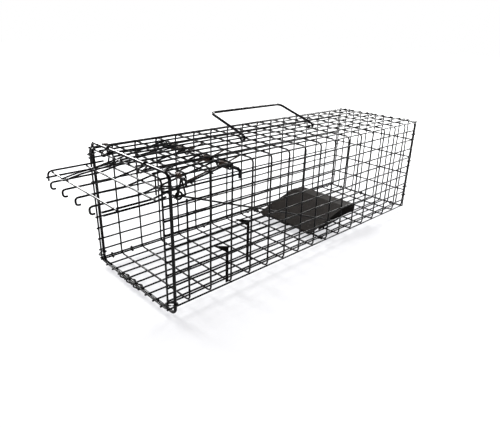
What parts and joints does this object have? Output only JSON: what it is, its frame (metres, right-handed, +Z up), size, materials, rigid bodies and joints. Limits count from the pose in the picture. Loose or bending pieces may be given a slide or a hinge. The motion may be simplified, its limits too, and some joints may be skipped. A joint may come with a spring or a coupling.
{
  "type": "live catch trap",
  "caption": "Wire-mesh cage trap that catches an animal alive, with a sprung drop door, treadle trigger and carrying handle.",
  "frame": {"origin": "centre of the part's footprint box, on the ground it stands on", "axes": "+X along the cage from the door end to the closed rear end, +Z up, +Y across the cage away from the side the trigger rod runs along"},
  "size_m": [0.4611, 0.1408, 0.1521],
  "materials": {
    "black_mesh_wire": "satin black coating",
    "black_frame_wire": "satin black coating, worn",
    "clip_wire": "dark zinc, dull",
    "spring_wire": "oil-browned spring steel",
    "treadle_sheet": "dark painted sheet steel",
    "door_wire": "satin black coating"
  },
  "bodies": {
    "cage": {"roof_mesh": "black_mesh_wire", "floor_mesh": "black_mesh_wire", "near_side_mesh": "black_mesh_wire", "far_side_mesh": "black_mesh_wire", "mesh_corner_bends": "black_mesh_wire", "seam_wire": "black_mesh_wire", "seam_hog_rings": "clip_wire", "rear_panel": "black_mesh_wire", "rear_hog_rings": "clip_wire", "front_frame": "black_frame_wire", "front_hog_rings": "clip_wire", "front_stay_wires": "door_wire", "near_wall_strips": "treadle_sheet", "door_hinge_rod": "black_frame_wire", "treadle_hinge_wire": "black_frame_wire", "treadle_hinge_rings": "clip_wire", "latch_bearing_coils": "spring_wire", "near_door_spring": "spring_wire", "middle_door_spring": "spring_wire", "bail_spring_coils": "spring_wire"},
    "door": {"door_hooked_bars": "door_wire", "door_inner_rails": "door_wire", "door_outer_rails": "door_wire", "door_cross_wires": "door_wire", "door_latch_pin_wire": "door_wire", "door_spring_bail": "door_wire"},
    "latch": {"latch_shaft": "black_frame_wire", "near_latch_arm": "door_wire", "far_latch_arm": "door_wire"},
    "treadle": {"treadle_plate": "treadle_sheet", "treadle_link_washer": "clip_wire"},
    "trigger_rod": {"trigger_rod": "door_wire"},
    "handle": {"carrying_handle": "black_frame_wire"}
  },
  "joints": [
    {"name": "door_swing", "type": "hinge", "parent": "cage", "child": "door", "pos_m": [-0.1, 0, 0.1241], "axis": [0, -1, 0], "range_deg": [0, 53], "deforming": ["near_door_spring", "middle_door_spring"]},
    {"name": "treadle_press", "type": "hinge", "parent": "cage", "child": "treadle", "pos_m": [0.042, 0, 0.0097], "axis": [0, 1, 0], "range_deg": [0, 5.5]},
    {"name": "latch_swing", "type": "hinge", "parent": "cage", "child": "latch", "pos_m": [-0.159, 0, 0.1265], "axis": [0, -1, 0], "range_deg": [0, 7.73]},
    {"name": "rod_hook_turn", "type": "hinge", "parent": "treadle", "child": "trigger_rod", "pos_m": [0.0815, -0.0452, 0.018], "axis": [0, 1, 0], "range_deg": [-4.91, 0]},
    {"name": "handle_swing", "type": "hinge", "parent": "cage", "child": "handle", "pos_m": [0.022, 0, 0.1317], "axis": [1, 0, 0], "range_deg": [0, 137]}
  ],
  "couplings": [
    {"joint": "latch_swing", "follows": "treadle_press", "ratio": 1.3503},
    {"joint": "rod_hook_turn", "follows": "treadle_press", "ratio": -0.8374}
  ]
}
